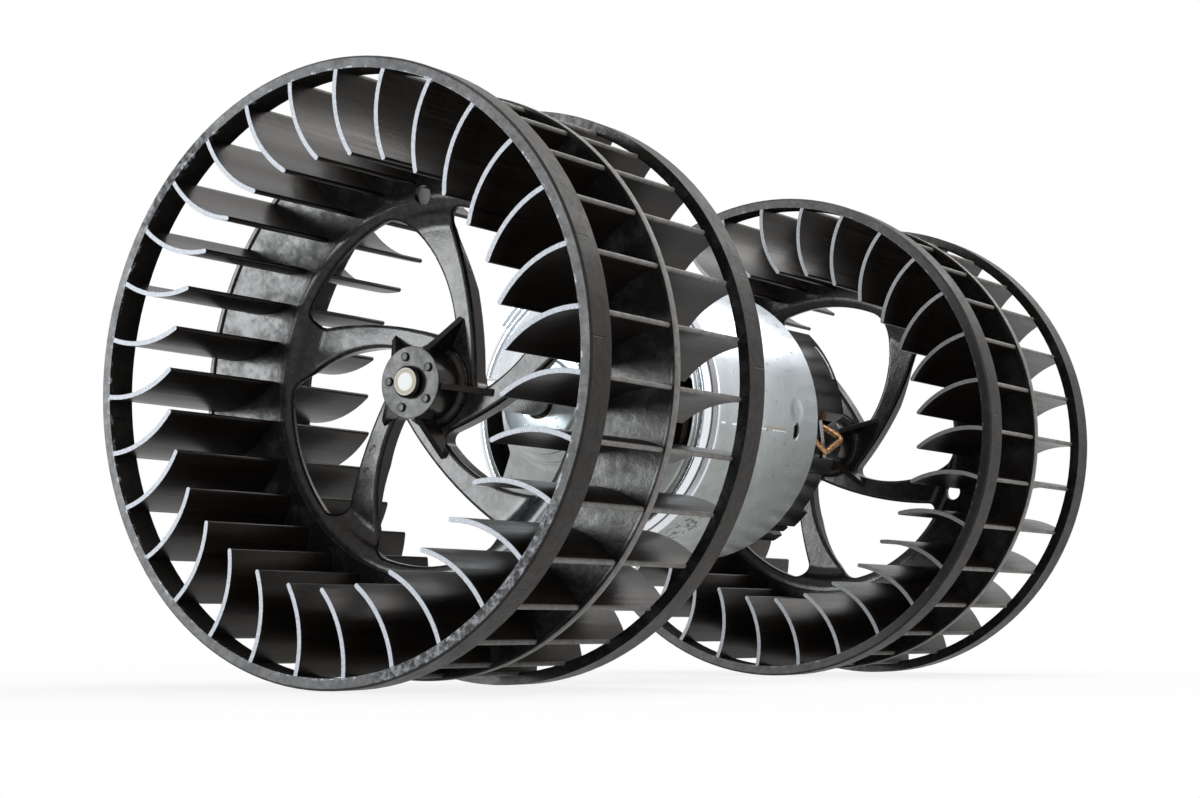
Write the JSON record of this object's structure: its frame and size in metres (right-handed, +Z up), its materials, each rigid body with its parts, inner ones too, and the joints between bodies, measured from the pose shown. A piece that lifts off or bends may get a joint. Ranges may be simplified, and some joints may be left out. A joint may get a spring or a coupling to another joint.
{
  "type": "cabin blower",
  "caption": "Cabin blower: a round electric motor on one through shaft with an open squirrel-cage wheel of curved blades on each end.",
  "frame": {"origin": "on the shaft axis, midway between the two wheels, which is also the centre of the overall box", "axes": "+Y along the shaft from the front wheel (the one nearer in the picture) towards the brush end, +Z up, +X to the right as seen from the front"},
  "size_m": [0.15, 0.2882, 0.15],
  "materials": {
    "wheel_plastic": "satin moulded, faint flow marks",
    "can_steel": "zinc plated, satin",
    "shaft_steel": "ground",
    "bearing_bronze": "sintered, oiled",
    "spring_steel": "blued",
    "ferrite": "fired",
    "lamination_steel": "stacked",
    "copper": "enamelled",
    "insulation": "moulded",
    "commutator_copper": "turned",
    "moulding_resin": "moulded",
    "card_plastic": "moulded, glossy",
    "carbon": "pressed carbon",
    "brass": "stamped",
    "strap_steel": "tinned",
    "washer_plastic": "moulded"
  },
  "bodies": {
    "stator": {"motor_can": "can_steel", "front_bearing": "bearing_bronze", "rear_bearing": "bearing_bronze", "front_bearing_retainer": "spring_steel", "rear_bearing_retainer": "spring_steel", "magnet_right": "ferrite", "magnet_left": "ferrite", "magnet_clips": "spring_steel", "brush_card": "card_plastic", "brush_box_a": "brass", "brush_box_b": "brass", "choke_a": "ferrite", "choke_b": "ferrite", "choke_winding_a": "copper", "choke_winding_b": "copper", "terminal_plus": "brass", "terminal_minus": "brass", "steel_strap_a": "strap_steel", "steel_strap_b": "strap_steel", "pigtail_a": "copper", "pigtail_b": "copper"},
    "rotor": {"shaft": "shaft_steel", "wheel_front": "wheel_plastic", "wheel_rear": "wheel_plastic", "front_thrust_washer": "washer_plastic", "rear_thrust_washer": "washer_plastic", "spacer_sleeve": "washer_plastic", "armature_core": "lamination_steel", "slot_insulation": "insulation", "armature_windings": "copper", "commutator_bars": "commutator_copper", "commutator_hub": "moulding_resin"},
    "brush_a": {"brush_a": "carbon"},
    "brush_b": {"brush_b": "carbon"},
    "spring_a": {"brush_spring_a": "spring_steel"},
    "spring_b": {"brush_spring_b": "spring_steel"}
  },
  "joints": [
    {"name": "rotor_spin", "type": "hinge", "parent": "stator", "child": "rotor", "pos_m": [0, 0, 0], "axis": [0, 1, 0], "continuous": true},
    {"name": "brush_a_slide", "type": "slide", "parent": "stator", "child": "brush_a", "axis": [0.866, 0, 0.5], "range_m": [0, 0.0024], "stiffness_N_per_m": 300, "springref_m": -0.006},
    {"name": "spring_a_arm", "type": "hinge", "parent": "stator", "child": "spring_a", "pos_m": [0.0291, 0.034, 0.00699], "axis": [0, 1, 0], "range_deg": [0, 18]},
    {"name": "brush_b_slide", "type": "slide", "parent": "stator", "child": "brush_b", "axis": [-0.866, 0, -0.5], "range_m": [0, 0.0024], "stiffness_N_per_m": 300, "springref_m": -0.006},
    {"name": "spring_b_arm", "type": "hinge", "parent": "stator", "child": "spring_b", "pos_m": [-0.0291, 0.034, -0.00699], "axis": [0, 1, 0], "range_deg": [0, 18]}
  ],
  "couplings": [
    {"joint": "spring_a_arm", "follows": "brush_a_slide", "rad_per_m": 117.65},
    {"joint": "spring_b_arm", "follows": "brush_b_slide", "rad_per_m": 117.65}
  ]
}
